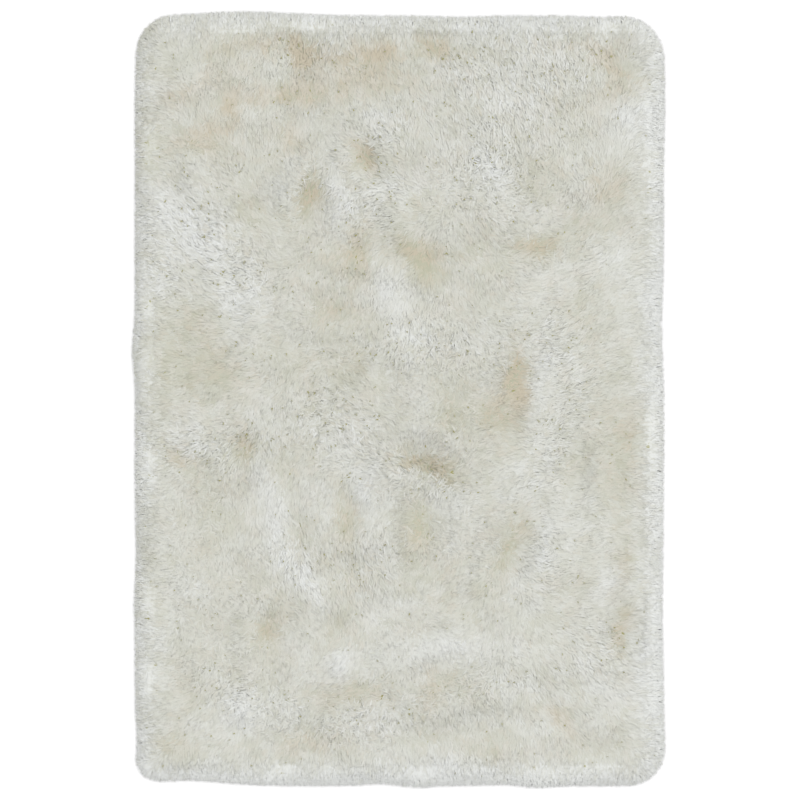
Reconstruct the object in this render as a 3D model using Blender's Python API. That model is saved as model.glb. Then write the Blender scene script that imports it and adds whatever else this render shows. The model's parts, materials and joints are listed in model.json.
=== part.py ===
"""Shag rug, about 1.6 m wide and 2.3 m long, lying flat.

The base cloth lies on the floor. The pile tufted through it is one lumpy slab, and the tufts of
its outer row lean over the edge of the cloth as separate locks whose ends rest level on the floor.
Metres, +Z up, +Y along the rug. The origin is on the floor, under the middle of the rug.
"""

import math
import random
from collections import namedtuple

import bmesh
import bpy
from mathutils import Vector, noise
from mathutils.geometry import delaunay_2d_cdt

# Mean lines of the four sides, as the pile reaches them
SIDE_LEFT, SIDE_RIGHT = -0.795, 0.798
SIDE_FRONT, SIDE_BACK = -1.162, 1.155

# Base cloth
CLOTH_THICK = 0.003
CLOTH_INSET = 0.054
CLEARANCE = 0.0003

# Pile slab
PILE_HEIGHT = 0.045
SHOULDER_SPAN = 0.068
TUSSOCK_RISE = 0.006
TUSSOCK_SPAN = 0.095
TOP_SPACING = 0.046
UNDERSIDE_SPACING = 0.24

# Locks of the outer row, as shares of their pitch along the rim where they are widths
LOCK_COUNT = 256
LOCK_REACH = 0.032
LOCK_REACH_VARIES = 0.006
ROOT_TOP = 0.023
KNEE_TOP, KNEE_TOP_VARIES = 0.012, 0.003
TIP_TOP = 0.004
KNEE_AT = 0.45
ROOT_WIDTH, KNEE_WIDTH, TIP_WIDTH = 0.80, 0.70, 0.38
LOCK_LEAN = 0.16

ARC_STEPS = 12
SEED = 7

# Each corner: the sides that meet there, its radius, and the angle at which its arc starts
Corner = namedtuple("Corner", "x y radius start")
CORNERS = (
    Corner(SIDE_RIGHT, SIDE_FRONT, 0.108, -90),
    Corner(SIDE_RIGHT, SIDE_BACK, 0.132, 0),
    Corner(SIDE_LEFT, SIDE_BACK, 0.120, 90),
    Corner(SIDE_LEFT, SIDE_FRONT, 0.087, 180),
)

# Where a side bulges or draws in: its place along the side, half its length, and how far it goes
Wave = namedtuple("Wave", "side at spread push")
EDGE_WAVES = (
    Wave("left", 1.03, 0.08, -0.003),
    Wave("left", 0.15, 0.07, 0.009),
    Wave("left", -0.46, 0.10, -0.003),
    Wave("left", -0.61, 0.06, 0.003),
    Wave("left", -1.02, 0.08, -0.005),
    Wave("right", 0.90, 0.12, 0.004),
    Wave("right", 0.22, 0.13, -0.006),
    Wave("right", -0.60, 0.18, -0.004),
    Wave("right", -1.02, 0.08, 0.004),
    Wave("back", -0.45, 0.19, 0.012),
    Wave("back", 0.18, 0.10, -0.004),
    Wave("back", 0.60, 0.08, -0.004),
    Wave("front", -0.64, 0.16, -0.016),
    Wave("front", -0.05, 0.06, -0.006),
    Wave("front", 0.06, 0.05, 0.006),
    Wave("front", 0.30, 0.06, -0.003),
    Wave("front", 0.42, 0.05, 0.006),
)
SIDES = {
    "left": Vector((-1, 0)),
    "right": Vector((1, 0)),
    "front": Vector((0, -1)),
    "back": Vector((0, 1)),
}

# Hollows and mounds of the pile, back to front: middle, half sizes, turn of the long one from +X
# in degrees, and rise, which is negative where the tufts part
Lump = namedtuple("Lump", "x y long wide turn rise")
LUMPS = (
    Lump(-0.28, 1.02, 0.08, 0.05, 60, -0.018),
    Lump(0.14, 1.03, 0.10, 0.04, 0, -0.011),
    Lump(0.66, 0.98, 0.08, 0.04, -60, -0.011),
    Lump(0.20, 0.92, 0.07, 0.05, 0, 0.007),
    Lump(-0.28, 0.89, 0.09, 0.04, 0, -0.012),
    Lump(-0.50, 0.86, 0.06, 0.05, 90, -0.008),
    Lump(0.69, 0.86, 0.06, 0.05, 90, 0.007),
    Lump(-0.59, 0.77, 0.11, 0.05, 0, -0.009),
    Lump(0.28, 0.77, 0.09, 0.05, 90, 0.007),
    Lump(-0.09, 0.71, 0.07, 0.04, -60, -0.019),
    Lump(-0.61, 0.65, 0.06, 0.05, 90, 0.008),
    Lump(0.61, 0.65, 0.07, 0.05, 90, -0.009),
    Lump(-0.19, 0.64, 0.12, 0.04, 90, 0.008),
    Lump(-0.26, 0.62, 0.09, 0.04, 60, -0.019),
    Lump(-0.01, 0.57, 0.06, 0.05, 0, 0.007),
    Lump(-0.36, 0.54, 0.09, 0.05, 20, -0.011),
    Lump(0.48, 0.49, 0.16, 0.05, 17, -0.016),
    Lump(-0.55, 0.48, 0.11, 0.06, 75, 0.008),
    Lump(-0.12, 0.45, 0.09, 0.04, 0, -0.011),
    Lump(0.09, 0.43, 0.09, 0.05, -60, -0.018),
    Lump(-0.03, 0.31, 0.12, 0.05, 90, 0.007),
    Lump(-0.44, 0.28, 0.09, 0.04, -75, 0.007),
    Lump(-0.19, 0.27, 0.08, 0.07, 0, -0.011),
    Lump(-0.63, 0.16, 0.17, 0.09, 90, -0.009),
    Lump(0.44, 0.15, 0.07, 0.05, 60, 0.008),
    Lump(-0.22, 0.13, 0.11, 0.05, 0, -0.008),
    Lump(0.33, 0.06, 0.08, 0.04, 70, -0.018),
    Lump(-0.04, 0.05, 0.05, 0.04, 0, -0.009),
    Lump(0.25, -0.05, 0.11, 0.05, -40, -0.014),
    Lump(-0.61, -0.06, 0.07, 0.05, 0, 0.007),
    Lump(-0.46, -0.14, 0.06, 0.04, 45, -0.018),
    Lump(-0.66, -0.17, 0.08, 0.04, -20, -0.009),
    Lump(0.64, -0.16, 0.18, 0.08, 90, -0.011),
    Lump(0.08, -0.20, 0.10, 0.04, -25, -0.024),
    Lump(0.49, -0.20, 0.10, 0.04, 85, -0.009),
    Lump(0.35, -0.25, 0.07, 0.05, 30, 0.007),
    Lump(-0.15, -0.32, 0.11, 0.04, 95, -0.016),
    Lump(-0.37, -0.34, 0.12, 0.04, 85, 0.008),
    Lump(-0.30, -0.36, 0.09, 0.03, 95, -0.011),
    Lump(0.08, -0.36, 0.09, 0.04, 90, -0.018),
    Lump(-0.50, -0.36, 0.09, 0.06, 60, -0.009),
    Lump(0.32, -0.46, 0.13, 0.04, 67, -0.019),
    Lump(-0.13, -0.50, 0.05, 0.04, 0, -0.009),
    Lump(0.60, -0.56, 0.08, 0.06, 0, 0.009),
    Lump(-0.27, -0.57, 0.08, 0.04, -60, 0.007),
    Lump(-0.39, -0.68, 0.09, 0.05, 90, -0.018),
    Lump(0.65, -0.69, 0.08, 0.04, 80, -0.016),
    Lump(-0.18, -0.79, 0.07, 0.06, 45, 0.011),
    Lump(0.17, -0.85, 0.13, 0.05, 15, -0.016),
    Lump(-0.10, -0.87, 0.07, 0.04, 0, -0.011),
    Lump(-0.63, -0.86, 0.09, 0.05, -45, -0.009),
    Lump(-0.46, -0.93, 0.07, 0.06, 0, 0.007),
    Lump(0.48, -0.94, 0.10, 0.04, -45, -0.011),
    Lump(-0.28, -0.98, 0.09, 0.04, 50, -0.011),
    Lump(0.08, -1.00, 0.07, 0.04, 0, -0.009),
    Lump(0.60, -1.05, 0.07, 0.04, 0, -0.008),
)


def bump(offset, spread):
    """1 in the middle of a feature, fading to 0 past its spread."""
    return math.exp(-((offset / spread) ** 2))


def corner_arcs():
    """The four corner arcs, anticlockwise, as points with their outward directions."""
    stations = []
    for corner in CORNERS:
        middle = Vector((
            corner.x - math.copysign(corner.radius, corner.x),
            corner.y - math.copysign(corner.radius, corner.y),
        ))
        for step in range(ARC_STEPS + 1):
            angle = math.radians(corner.start + 90 * step / ARC_STEPS)
            outward = Vector((math.cos(angle), math.sin(angle)))
            stations.append((middle + corner.radius * outward, outward))
    return stations


ARCS = corner_arcs()
STRETCHES = [(a, b, (b[0] - a[0]).length) for a, b in zip(ARCS, ARCS[1:] + ARCS[:1])]
PERIMETER = sum(length for _, _, length in STRETCHES)


def edge_swell(point, outward):
    """How far the side's bulges move this point of the outline."""
    move = Vector((0, 0))
    for wave in EDGE_WAVES:
        side = SIDES[wave.side]
        facing = outward.dot(side)
        if facing > 0:
            along = point.y if side.x else point.x
            move += side * facing * wave.push * bump(along - wave.at, wave.spread)
    return move


def rim(turn, inset, height):
    """The point at this count of locks along the outline, this far inside it."""
    left = (turn / LOCK_COUNT % 1) * PERIMETER
    for (point, outward), (next_point, next_outward), length in STRETCHES:
        if left <= length:
            break
        left -= length
    point = point.lerp(next_point, left / length)
    outward = outward.lerp(next_outward, left / length).normalized()
    place = point + edge_swell(point, outward) - inset * outward
    return Vector((*place, height))


def depth_inside(x, y):
    """Distance from the mean outline, positive inside it."""
    corner = next(c for c in CORNERS if (c.x > 0) == (x > 0) and (c.y > 0) == (y > 0))
    from_x, from_y = abs(corner.x) - abs(x), abs(corner.y) - abs(y)
    if from_x < corner.radius and from_y < corner.radius:
        return corner.radius - math.hypot(corner.radius - from_x, corner.radius - from_y)
    return min(from_x, from_y)


def pile_height(x, y):
    """Height of the pile away from the rim, with its hollows, mounds and tussocks."""
    height = PILE_HEIGHT + TUSSOCK_RISE * noise.noise(Vector((x, y, 0)) / TUSSOCK_SPAN)
    for lump in LUMPS:
        offset = Vector((x - lump.x, y - lump.y))
        long_way = Vector((math.cos(math.radians(lump.turn)), math.sin(math.radians(lump.turn))))
        across = offset.cross(long_way)
        height += lump.rise * bump(offset.dot(long_way), lump.long) * bump(across, lump.wide)
    return height


def top_height(x, y, inset):
    """Height of the slab's top at this inset: a round shoulder that rises to the full pile."""
    share = min(max((inset - LOCK_REACH) / SHOULDER_SPAN, 0), 1)
    return ROOT_TOP + (pile_height(x, y) - ROOT_TOP) * math.sqrt(1 - (1 - share) ** 2)


def fill(bm, ring, inset, spacing, height_at):
    """Triangles across a closed ring of vertices, with points inside it on a staggered grid."""
    places = [vertex.co.xy for vertex in ring]
    row_step = spacing * math.sqrt(0.75)
    rows = int((SIDE_BACK - SIDE_FRONT) / row_step) + 1
    columns = int((SIDE_RIGHT - SIDE_LEFT) / spacing) + 1
    for row in range(rows):
        for column in range(columns):
            x = SIDE_LEFT + (column + row % 2 / 2) * spacing
            y = SIDE_FRONT + row * row_step
            if depth_inside(x, y) > inset + spacing * 0.6:
                places.append(Vector((x, y)))
    inner = [bm.verts.new((*place, height_at(*place))) for place in places[len(ring):]]
    vertices = ring + inner
    edges = [(i, (i + 1) % len(ring)) for i in range(len(ring))]
    _, _, triangles, origins, _, _ = delaunay_2d_cdt(places, edges, [], 1, 1e-6)
    for triangle in triangles:
        bm.faces.new([vertices[origins[corner][0]] for corner in triangle])


def add_lock(bm, number, root, random_source):
    """One four-sided lock: out of its root on the slab's side, down to the floor, out to its end."""
    lean = LOCK_LEAN * (noise.noise(Vector((number / 5, 0, 0))) + random_source.uniform(-0.5, 0.5))
    tip_inset = random_source.uniform(0, LOCK_REACH_VARIES)
    knee_top = KNEE_TOP + random_source.uniform(-KNEE_TOP_VARIES, KNEE_TOP_VARIES)
    knee_inset = LOCK_REACH - KNEE_AT * (LOCK_REACH - tip_inset)
    sections = (
        (number + lean * KNEE_AT, KNEE_WIDTH / 2, knee_inset, knee_top),
        (number + lean, TIP_WIDTH / 2, tip_inset, TIP_TOP),
    )
    for middle, half, inset, top in sections:
        corners = (
            (middle - half, 0), (middle + half, 0), (middle + half, top), (middle - half, top)
        )
        section = [bm.verts.new(rim(turn, inset, height)) for turn, height in corners]
        for side in range(4):
            after = (side + 1) % 4
            bm.faces.new((root[side], root[after], section[after], section[side]))
        root = section
    bm.faces.new(root)


def pile_slab():
    """The slab of pile with its locks, as one closed mesh."""
    bm = bmesh.new()
    random_source = random.Random(SEED)
    foot_height = CLOTH_THICK + CLEARANCE
    low, high, shoulder, crown = [], [], [], []
    for number in range(LOCK_COUNT):
        for turn in (number - ROOT_WIDTH / 2, number + ROOT_WIDTH / 2):
            low.append(bm.verts.new(rim(turn, LOCK_REACH, foot_height)))
            high.append(bm.verts.new(rim(turn, LOCK_REACH, ROOT_TOP)))
        for ring, share in ((shoulder, 0.15), (crown, 0.5)):
            inset = LOCK_REACH + share * SHOULDER_SPAN
            place = rim(number, inset, 0)
            ring.append(bm.verts.new((*place.xy, top_height(*place.xy, inset))))
    for number in range(LOCK_COUNT):
        left, right = 2 * number, 2 * number + 1
        after, next_left = (number + 1) % LOCK_COUNT, (right + 1) % len(low)
        add_lock(bm, number, [low[left], low[right], high[right], high[left]], random_source)
        bm.faces.new((low[right], low[next_left], high[next_left], high[right]))
        bm.faces.new((high[left], high[right], shoulder[number]))
        bm.faces.new((high[right], high[next_left], shoulder[after], shoulder[number]))
        bm.faces.new((shoulder[number], shoulder[after], crown[after], crown[number]))
    crown_inset = LOCK_REACH + 0.5 * SHOULDER_SPAN
    fill(bm, crown, crown_inset, TOP_SPACING, lambda x, y: top_height(x, y, depth_inside(x, y)))
    fill(bm, low, LOCK_REACH, UNDERSIDE_SPACING, lambda x, y: foot_height)
    return bm


def base_cloth():
    """The cloth that the pile is tufted through, a flat sheet with round corners."""
    bm = bmesh.new()
    outline = [
        bm.verts.new((*(point - CLOTH_INSET * outward), 0)) for point, outward in ARCS
    ]
    made = bmesh.ops.extrude_face_region(bm, geom=[bm.faces.new(outline)])
    top = [item for item in made["geom"] if isinstance(item, bmesh.types.BMVert)]
    bmesh.ops.translate(bm, verts=top, vec=(0, 0, CLOTH_THICK))
    return bm


def yarn_material(name, colour, roughness):
    material = bpy.data.materials.new(name)
    material.use_nodes = True
    shader = material.node_tree.nodes["Principled BSDF"]
    shader.inputs["Base Color"].default_value = (*colour, 1)
    shader.inputs["Roughness"].default_value = roughness
    shader.inputs["Metallic"].default_value = 0
    return material


def add_piece(name, bm, material):
    """Makes an object of the mesh, with its faces outward and its soft slopes shaded smooth."""
    bmesh.ops.recalc_face_normals(bm, faces=bm.faces)
    mesh = bpy.data.meshes.new(name)
    bm.to_mesh(mesh)
    bm.free()
    mesh.shade_smooth()
    mesh.set_sharp_from_angle(angle=math.radians(40))
    mesh.materials.append(material)
    piece = bpy.data.objects.new(name, mesh)
    bpy.context.scene.collection.objects.link(piece)
    return piece


def main():
    for old in list(bpy.data.objects):
        bpy.data.objects.remove(old, do_unlink=True)
    add_piece("backing", base_cloth(), yarn_material("backing", (0.66, 0.60, 0.50), 0.9))
    add_piece("shag_pile", pile_slab(), yarn_material("shag_pile", (0.62, 0.60, 0.53), 0.7))


main()
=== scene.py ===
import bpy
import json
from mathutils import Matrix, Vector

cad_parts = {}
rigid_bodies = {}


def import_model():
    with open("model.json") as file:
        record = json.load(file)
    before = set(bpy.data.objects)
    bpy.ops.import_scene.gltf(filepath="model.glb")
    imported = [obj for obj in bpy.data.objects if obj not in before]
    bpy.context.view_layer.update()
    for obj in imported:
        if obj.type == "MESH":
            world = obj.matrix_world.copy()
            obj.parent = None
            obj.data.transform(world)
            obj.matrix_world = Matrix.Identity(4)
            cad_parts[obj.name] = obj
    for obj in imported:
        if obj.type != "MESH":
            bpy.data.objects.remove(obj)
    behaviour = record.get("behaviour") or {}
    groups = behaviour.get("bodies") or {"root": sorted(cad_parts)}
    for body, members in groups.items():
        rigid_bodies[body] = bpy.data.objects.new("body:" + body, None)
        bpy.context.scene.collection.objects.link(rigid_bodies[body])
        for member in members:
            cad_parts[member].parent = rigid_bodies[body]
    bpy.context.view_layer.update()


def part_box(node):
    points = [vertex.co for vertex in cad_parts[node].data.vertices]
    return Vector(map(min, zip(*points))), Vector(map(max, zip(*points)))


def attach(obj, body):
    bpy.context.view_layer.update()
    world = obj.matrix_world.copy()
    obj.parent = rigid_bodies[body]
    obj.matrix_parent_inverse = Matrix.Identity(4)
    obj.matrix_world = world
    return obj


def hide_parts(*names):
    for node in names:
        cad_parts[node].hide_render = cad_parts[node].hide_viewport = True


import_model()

import json
import math
from collections import namedtuple
from itertools import starmap

import bmesh
import bpy
import numpy as np
from mathutils import Vector, noise
from mathutils.geometry import delaunay_2d_cdt

bl_info = {
    "name": "Shag rug",
    "version": (1, 0, 0),
    "blender": (4, 5, 0),
    "location": "3D View > Sidebar > Shag rug",
    "description": "A rectangular shag rug: base cloth, bed of yarn roots and combed locks",
    "category": "Add Mesh",
}


# ---------------- the rug's plan, as its solids have it

SIDE_LEFT, SIDE_RIGHT = -0.795, 0.798
SIDE_FRONT, SIDE_BACK = -1.162, 1.155
ARC_STEPS = 12

# Each corner: the sides that meet there, its radius, and the angle at which its arc starts
Corner = namedtuple("Corner", "x y radius start")
CORNERS = (
    Corner(SIDE_RIGHT, SIDE_FRONT, 0.108, -90),
    Corner(SIDE_RIGHT, SIDE_BACK, 0.132, 0),
    Corner(SIDE_LEFT, SIDE_BACK, 0.120, 90),
    Corner(SIDE_LEFT, SIDE_FRONT, 0.087, 180),
)

# Where a side bulges or draws in: its place along the side, half its length, and how far it goes
Wave = namedtuple("Wave", "side at spread push")
EDGE_WAVES = tuple(starmap(Wave, (
    ("left", 1.03, 0.08, -0.003),
    ("left", 0.15, 0.07, 0.009),
    ("left", -0.46, 0.10, -0.003),
    ("left", -0.61, 0.06, 0.003),
    ("left", -1.02, 0.08, -0.005),
    ("right", 0.90, 0.12, 0.004),
    ("right", 0.22, 0.13, -0.006),
    ("right", -0.60, 0.18, -0.004),
    ("right", -1.02, 0.08, 0.004),
    ("back", -0.45, 0.19, 0.012),
    ("back", 0.18, 0.10, -0.004),
    ("back", 0.60, 0.08, -0.004),
    ("front", -0.64, 0.16, -0.016),
    ("front", -0.05, 0.06, -0.006),
    ("front", 0.06, 0.05, 0.006),
    ("front", 0.30, 0.06, -0.003),
    ("front", 0.42, 0.05, 0.006),
)))
SIDES = {
    "left": Vector((-1, 0)),
    "right": Vector((1, 0)),
    "front": Vector((0, -1)),
    "back": Vector((0, 1)),
}

PILE_HEIGHT = 0.045

# Soft noise over the rug: about how far apart its bumps lie, which layer of it, and its strength
Mottle = namedtuple("Mottle", "span layer strength")
TUSSOCKS = Mottle(0.095, 0.0, 0.006)

# Ovals on the rug, in three tables, each from back to front: middle, half sizes, and turn of the
# long one from +X in degrees. The first, the hollows and mounds of the pile, adds their rise.
Lump = namedtuple("Lump", "x y long wide turn rise")
LUMPS = tuple(starmap(Lump, (
    (-0.28, 1.02, 0.08, 0.05, 60, -0.018),
    (0.14, 1.03, 0.10, 0.04, 0, -0.011),
    (0.66, 0.98, 0.08, 0.04, -60, -0.011),
    (0.20, 0.92, 0.07, 0.05, 0, 0.007),
    (-0.28, 0.89, 0.09, 0.04, 0, -0.012),
    (-0.50, 0.86, 0.06, 0.05, 90, -0.008),
    (0.69, 0.86, 0.06, 0.05, 90, 0.007),
    (-0.59, 0.77, 0.11, 0.05, 0, -0.009),
    (0.28, 0.77, 0.09, 0.05, 90, 0.007),
    (-0.09, 0.71, 0.07, 0.04, -60, -0.019),
    (-0.61, 0.65, 0.06, 0.05, 90, 0.008),
    (0.61, 0.65, 0.07, 0.05, 90, -0.009),
    (-0.19, 0.64, 0.12, 0.04, 90, 0.008),
    (-0.26, 0.62, 0.09, 0.04, 60, -0.019),
    (-0.01, 0.57, 0.06, 0.05, 0, 0.007),
    (-0.36, 0.54, 0.09, 0.05, 20, -0.011),
    (0.48, 0.49, 0.16, 0.05, 17, -0.016),
    (-0.55, 0.48, 0.11, 0.06, 75, 0.008),
    (-0.12, 0.45, 0.09, 0.04, 0, -0.011),
    (0.09, 0.43, 0.09, 0.05, -60, -0.018),
    (-0.03, 0.31, 0.12, 0.05, 90, 0.007),
    (-0.44, 0.28, 0.09, 0.04, -75, 0.007),
    (-0.19, 0.27, 0.08, 0.07, 0, -0.011),
    (-0.63, 0.16, 0.17, 0.09, 90, -0.009),
    (0.44, 0.15, 0.07, 0.05, 60, 0.008),
    (-0.22, 0.13, 0.11, 0.05, 0, -0.008),
    (0.33, 0.06, 0.08, 0.04, 70, -0.018),
    (-0.04, 0.05, 0.05, 0.04, 0, -0.009),
    (0.25, -0.05, 0.11, 0.05, -40, -0.014),
    (-0.61, -0.06, 0.07, 0.05, 0, 0.007),
    (-0.46, -0.14, 0.06, 0.04, 45, -0.018),
    (-0.66, -0.17, 0.08, 0.04, -20, -0.009),
    (0.64, -0.16, 0.18, 0.08, 90, -0.011),
    (0.08, -0.20, 0.10, 0.04, -25, -0.024),
    (0.49, -0.20, 0.10, 0.04, 85, -0.009),
    (0.35, -0.25, 0.07, 0.05, 30, 0.007),
    (-0.15, -0.32, 0.11, 0.04, 95, -0.016),
    (-0.37, -0.34, 0.12, 0.04, 85, 0.008),
    (-0.30, -0.36, 0.09, 0.03, 95, -0.011),
    (0.08, -0.36, 0.09, 0.04, 90, -0.018),
    (-0.50, -0.36, 0.09, 0.06, 60, -0.009),
    (0.32, -0.46, 0.13, 0.04, 67, -0.019),
    (-0.13, -0.50, 0.05, 0.04, 0, -0.009),
    (0.60, -0.56, 0.08, 0.06, 0, 0.009),
    (-0.27, -0.57, 0.08, 0.04, -60, 0.007),
    (-0.39, -0.68, 0.09, 0.05, 90, -0.018),
    (0.65, -0.69, 0.08, 0.04, 80, -0.016),
    (-0.18, -0.79, 0.07, 0.06, 45, 0.011),
    (0.17, -0.85, 0.13, 0.05, 15, -0.016),
    (-0.10, -0.87, 0.07, 0.04, 0, -0.011),
    (-0.63, -0.86, 0.09, 0.05, -45, -0.009),
    (-0.46, -0.93, 0.07, 0.06, 0, 0.007),
    (0.48, -0.94, 0.10, 0.04, -45, -0.011),
    (-0.28, -0.98, 0.09, 0.04, 50, -0.011),
    (0.08, -1.00, 0.07, 0.04, 0, -0.009),
    (0.60, -1.05, 0.07, 0.04, 0, -0.008),
)))


# ---------------- how the pile is combed and toned, with painted shade and light

# Stretches whose tufts lean one way: middle, reach, and heading of their ends in degrees from +X
Combing = namedtuple("Combing", "x y reach heading")
COMBINGS = tuple(starmap(Combing, (
    (-0.54, 0.48, 0.16, 150),
    (-0.60, 0.05, 0.22, 182),
    (-0.42, 0.85, 0.18, 88),
    (-0.20, 0.64, 0.10, -88),
    (-0.02, 0.56, 0.12, 160),
    (-0.15, 0.36, 0.12, -95),
    (0.10, 0.88, 0.20, 110),
    (0.34, 0.86, 0.22, 122),
    (0.58, 0.90, 0.16, 105),
    (0.25, 0.60, 0.15, -50),
    (0.12, 0.33, 0.18, -90),
    (0.60, 0.33, 0.22, 40),
    (0.46, 0.05, 0.16, 5),
    (-0.12, -0.08, 0.16, 140),
    (-0.34, -0.05, 0.14, -62),
    (-0.36, -0.36, 0.16, -82),
    (-0.14, -0.36, 0.10, -100),
    (-0.16, -0.60, 0.14, -60),
    (0.30, -0.28, 0.12, 20),
    (0.20, -0.60, 0.14, 225),
    (0.62, -0.40, 0.20, 0),
    (0.58, -0.58, 0.10, 35),
    (0.52, -0.84, 0.16, -40),
    (0.12, -0.78, 0.12, 95),
    (-0.18, -0.80, 0.10, 200),
    (-0.60, -1.00, 0.18, -135),
    (0.30, -1.02, 0.20, -90),
)))

# Ovals of painted shade and sheen: how much lighter the yarn is painted there, less in shaded
# hollows and more as sheen where the pile faces the light, and how much warmer
Patch = namedtuple("Patch", "x y long wide turn pale warm", defaults=(0.0,))
SHADE_AND_SHEEN_PATCHES = tuple(starmap(Patch, (
    (-0.76, 1.12, 0.08, 0.08, 0, -0.28),
    (-0.42, 1.05, 0.14, 0.05, 0, -0.26, 0.5),
    (0.50, 1.05, 0.10, 0.04, -10, -0.22, 0.6),
    (0.11, 1.04, 0.06, 0.035, 0, -0.44, 0.7),
    (-0.30, 1.03, 0.055, 0.03, -60, -0.52, 1.0),
    (-0.06, 1.02, 0.05, 0.03, 0, -0.30, 0.6),
    (-0.16, 1.01, 0.12, 0.03, 0, -0.22, 1.0),
    (0.62, 1.00, 0.06, 0.03, -60, -0.25, 0.8),
    (-0.07, 0.94, 0.14, 0.06, 0, -0.30, 0.5),
    (0.68, 0.92, 0.12, 0.04, 20, -0.30, 0.6),
    (-0.62, 0.91, 0.12, 0.03, 30, -0.18, 0.7),
    (-0.36, 0.90, 0.16, 0.035, 0, -0.25, 0.7),
    (-0.50, 0.85, 0.06, 0.025, 80, -0.30, 1.0),
    (0.66, 0.80, 0.08, 0.04, 70, 0.24),
    (-0.61, 0.77, 0.07, 0.025, 15, -0.20, 0.8),
    (-0.32, 0.77, 0.07, 0.025, 75, -0.26, 0.6),
    (-0.74, 0.74, 0.18, 0.05, 90, -0.22),
    (-0.09, 0.71, 0.05, 0.03, -60, -0.45, 0.9),
    (0.26, 0.70, 0.09, 0.04, -60, 0.26),
    (-0.19, 0.68, 0.09, 0.035, 100, 0.26),
    (0.41, 0.66, 0.12, 0.05, 50, -0.20),
    (-0.05, 0.64, 0.06, 0.04, 0, 0.20),
    (-0.26, 0.62, 0.05, 0.03, 60, -0.50, 0.7),
    (0.62, 0.62, 0.07, 0.045, 60, -0.18, 0.7),
    (-0.34, 0.60, 0.05, 0.06, 0, 0.20),
    (0.06, 0.58, 0.05, 0.04, 0, -0.24),
    (-0.45, 0.56, 0.06, 0.04, 0, -0.26),
    (-0.11, 0.47, 0.11, 0.04, 80, -0.30, 0.5),
    (0.12, 0.46, 0.08, 0.025, 0, -0.22, 0.5),
    (0.40, 0.45, 0.07, 0.03, 0, -0.42, 0.9),
    (-0.57, 0.44, 0.18, 0.06, -50, 0.26),
    (0.06, 0.43, 0.08, 0.04, -60, -0.48, 0.2),
    (0.71, 0.42, 0.09, 0.04, 90, -0.22),
    (0.60, 0.40, 0.12, 0.08, 0, 0.18),
    (-0.02, 0.32, 0.11, 0.045, -70, 0.22),
    (-0.21, 0.26, 0.09, 0.04, 0, -0.20, 0.5),
    (-0.48, 0.24, 0.10, 0.04, -65, 0.20),
    (0.48, 0.155, 0.015, 0.015, 0, -0.35, 0.2),
    (-0.53, 0.10, 0.14, 0.07, 0, -0.24, 0.1),
    (-0.12, 0.10, 0.14, 0.06, 80, -0.18),
    (0.34, 0.06, 0.09, 0.025, -80, -0.44, 0.8),
    (0.40, 0.02, 0.11, 0.035, 85, 0.26),
    (-0.70, 0.00, 0.22, 0.05, 90, -0.16),
    (0.30, -0.02, 0.09, 0.05, 50, -0.24, 0.6),
    (0.15, -0.05, 0.07, 0.035, -75, -0.32, 0.2),
    (-0.60, -0.12, 0.05, 0.04, 90, 0.26),
    (0.68, -0.13, 0.14, 0.06, 90, -0.22, 0.5),
    (-0.46, -0.14, 0.045, 0.025, 90, -0.35, 0.7),
    (-0.65, -0.16, 0.06, 0.024, -40, -0.32, 0.5),
    (-0.33, -0.19, 0.06, 0.05, 90, -0.24),
    (0.09, -0.20, 0.07, 0.025, -25, -0.50, 0.7),
    (-0.10, -0.26, 0.13, 0.05, -75, 0.26),
    (0.12, -0.31, 0.05, 0.05, 0, 0.24),
    (-0.37, -0.33, 0.12, 0.03, 100, 0.26),
    (-0.15, -0.35, 0.07, 0.022, -75, -0.30, 0.3),
    (0.06, -0.39, 0.08, 0.035, 90, -0.30, 0.1),
    (0.42, -0.41, 0.12, 0.06, 70, 0.30),
    (0.32, -0.46, 0.10, 0.03, 65, -0.18, 0.5),
    (-0.72, -0.47, 0.14, 0.04, 90, -0.20),
    (-0.29, -0.52, 0.11, 0.04, -50, 0.22),
    (0.65, -0.51, 0.08, 0.03, 75, -0.22, 0.4),
    (0.53, -0.56, 0.04, 0.04, 0, -0.24, 0.2),
    (0.60, -0.57, 0.04, 0.025, 60, 0.20),
    (-0.63, -0.56, 0.06, 0.05, 0, 0.24),
    (-0.15, -0.58, 0.08, 0.04, 80, -0.22, 0.2),
    (0.02, -0.59, 0.09, 0.03, 15, 0.24),
    (-0.39, -0.68, 0.07, 0.03, 70, -0.22, 0.5),
    (0.65, -0.69, 0.07, 0.025, 75, -0.34, 0.9),
    (0.555, -0.725, 0.012, 0.012, 0, -0.60, 0.4),
    (0.20, -0.75, 0.20, 0.06, 5, 0.28),
    (-0.17, -0.79, 0.06, 0.045, 30, 0.32),
    (0.60, -0.84, 0.09, 0.05, -50, 0.20),
    (0.40, -0.86, 0.08, 0.03, -5, 0.18),
    (-0.15, -0.87, 0.12, 0.05, 0, -0.28, 0.3),
    (0.10, -0.88, 0.06, 0.025, 55, -0.14, 0.8),
    (0.48, -0.95, 0.06, 0.025, -35, -0.20, 1.0),
    (-0.45, -0.95, 0.12, 0.06, 0, 0.24),
    (0.40, -0.97, 0.05, 0.04, 0, 0.25),
    (-0.26, -1.02, 0.10, 0.03, 5, -0.14, 0.7),
    (0.26, -1.02, 0.05, 0.04, 0, -0.24, 0.2),
    (-0.63, -1.03, 0.12, 0.04, 0, -0.20, 0.2),
    (-0.77, -1.06, 0.12, 0.04, -55, 0.28),
    (0.12, -1.07, 0.05, 0.04, 0, 0.26),
    (0.00, -1.14, 0.78, 0.035, 0, 0.26),
)))

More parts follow.
